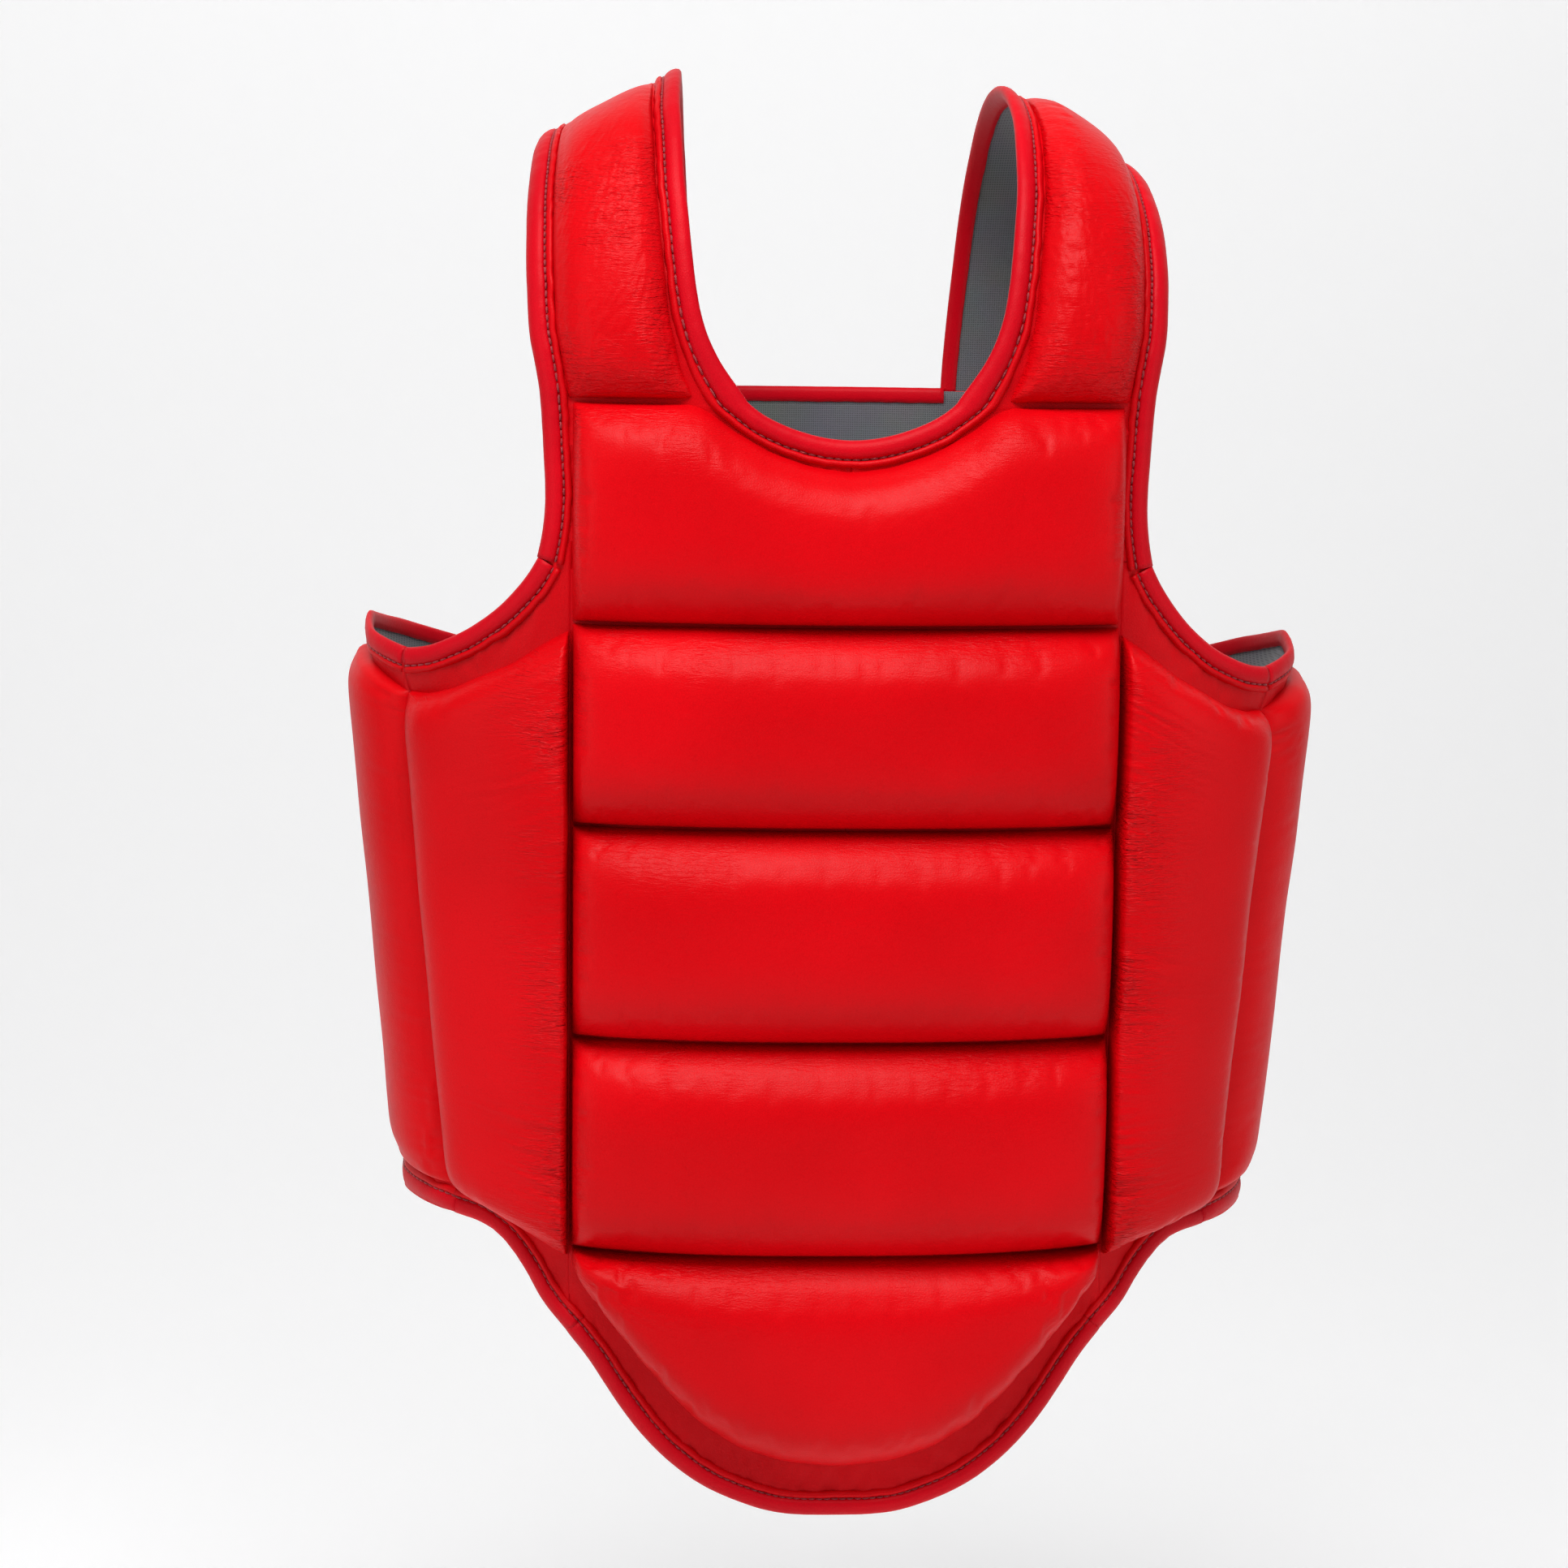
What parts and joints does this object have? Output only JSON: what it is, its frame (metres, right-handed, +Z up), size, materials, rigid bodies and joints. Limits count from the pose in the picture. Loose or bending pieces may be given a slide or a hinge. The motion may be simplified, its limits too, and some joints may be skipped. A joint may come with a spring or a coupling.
{
  "type": "padded trunk guard",
  "caption": "Padded torso guard worn over the shoulders: leather covered foam blocks, wrap-round wings, hinged apron, rear yoke with hook-and-loop straps.",
  "frame": {"origin": "mid plane of the guard, over the shoulder crest, at the height where the outer edge of the shoulder lining rests on the wearer", "axes": "+X towards the wearer's left, -Y out of the chest, +Z up towards the head"},
  "size_m": [0.4464, 0.2755, 0.6381],
  "materials": {
    "leather": "satin",
    "binding": "satin",
    "foam": "matte",
    "lining": "matte",
    "webbing": "matte",
    "hook_tab": "matte",
    "loop_tape": "matte"
  },
  "bodies": {
    "front": {"chest_cover": "leather", "chest_foam": "foam", "upper_abdomen_cover": "leather", "upper_abdomen_foam": "foam", "middle_abdomen_cover": "leather", "middle_abdomen_foam": "foam", "lower_abdomen_cover": "leather", "lower_abdomen_foam": "foam", "front_lining": "lining", "neck_binding": "binding", "left_front_shoulder_cover": "leather", "left_front_shoulder_foam": "foam", "left_front_shoulder_lining": "lining", "left_armhole_binding": "binding", "right_front_shoulder_cover": "leather", "right_front_shoulder_foam": "foam", "right_front_shoulder_lining": "lining", "right_armhole_binding": "binding"},
    "apron": {"apron_cover": "leather", "apron_foam": "foam", "apron_lining": "lining", "apron_binding": "binding"},
    "back": {"yoke_cover": "leather", "yoke_foam": "foam", "back_panel_cover": "leather", "back_panel_foam": "foam", "back_lining": "lining", "back_binding": "binding", "left_loop_patch": "loop_tape", "right_loop_patch": "loop_tape", "left_rear_shoulder_cover": "leather", "left_rear_shoulder_foam": "foam", "left_rear_shoulder_lining": "lining", "right_rear_shoulder_cover": "leather", "right_rear_shoulder_foam": "foam", "right_rear_shoulder_lining": "lining"},
    "left_side_front": {"left_side_front_cover": "leather", "left_side_front_foam": "foam", "left_side_front_lining": "lining", "left_side_front_binding": "binding"},
    "left_side_rear": {"left_side_rear_cover": "leather", "left_side_rear_foam": "foam", "left_side_rear_lining": "lining", "left_side_rear_binding": "binding"},
    "left_upper_closure": {"left_upper_strap": "webbing", "left_upper_hook_tab": "hook_tab"},
    "left_lower_closure": {"left_lower_strap": "webbing", "left_lower_hook_tab": "hook_tab"},
    "right_side_front": {"right_side_front_cover": "leather", "right_side_front_foam": "foam", "right_side_front_lining": "lining", "right_side_front_binding": "binding"},
    "right_side_rear": {"right_side_rear_cover": "leather", "right_side_rear_foam": "foam", "right_side_rear_lining": "lining", "right_side_rear_binding": "binding"},
    "right_upper_closure": {"right_upper_strap": "webbing", "right_upper_hook_tab": "hook_tab"},
    "right_lower_closure": {"right_lower_strap": "webbing", "right_lower_hook_tab": "hook_tab"}
  },
  "joints": [
    {"name": "apron_fold", "type": "hinge", "parent": "front", "child": "apron", "pos_m": [0, -0.108, -0.474], "axis": [1, 0, 0], "range_deg": [-30, 15]},
    {"name": "shoulder_fold", "type": "hinge", "parent": "front", "child": "back", "pos_m": [0, 0, -0.004], "axis": [1, 0, 0], "range_deg": [-22, 0]},
    {"name": "left_wing_fold", "type": "hinge", "parent": "front", "child": "left_side_front", "pos_m": [0.12, -0.10147, -0.2], "axis": [0, 0.0179, -0.9998], "range_deg": [0, 40]},
    {"name": "left_flank_fold", "type": "hinge", "parent": "left_side_front", "child": "left_side_rear", "pos_m": [0.18083, -0.05294, -0.345], "axis": [-0.1166, -0.0648, -0.9911], "range_deg": [0, 40]},
    {"name": "left_upper_strap_peel", "type": "hinge", "parent": "left_side_rear", "child": "left_upper_closure", "pos_m": [0.15426, 0.08986, -0.275], "axis": [0, 0, -1], "range_deg": [0, 100]},
    {"name": "left_lower_strap_peel", "type": "hinge", "parent": "left_side_rear", "child": "left_lower_closure", "pos_m": [0.14686, 0.08986, -0.387], "axis": [0, 0, -1], "range_deg": [0, 100]},
    {"name": "right_wing_fold", "type": "hinge", "parent": "front", "child": "right_side_front", "pos_m": [-0.12, -0.10147, -0.2], "axis": [0, -0.0179, 0.9998], "range_deg": [0, 40]},
    {"name": "right_flank_fold", "type": "hinge", "parent": "right_side_front", "child": "right_side_rear", "pos_m": [-0.18083, -0.05294, -0.345], "axis": [-0.1166, 0.0648, 0.9911], "range_deg": [0, 40]},
    {"name": "right_upper_strap_peel", "type": "hinge", "parent": "right_side_rear", "child": "right_upper_closure", "pos_m": [-0.15426, 0.08986, -0.275], "axis": [0, 0, 1], "range_deg": [0, 100]},
    {"name": "right_lower_strap_peel", "type": "hinge", "parent": "right_side_rear", "child": "right_lower_closure", "pos_m": [-0.14686, 0.08986, -0.387], "axis": [0, 0, 1], "range_deg": [0, 100]}
  ]
}
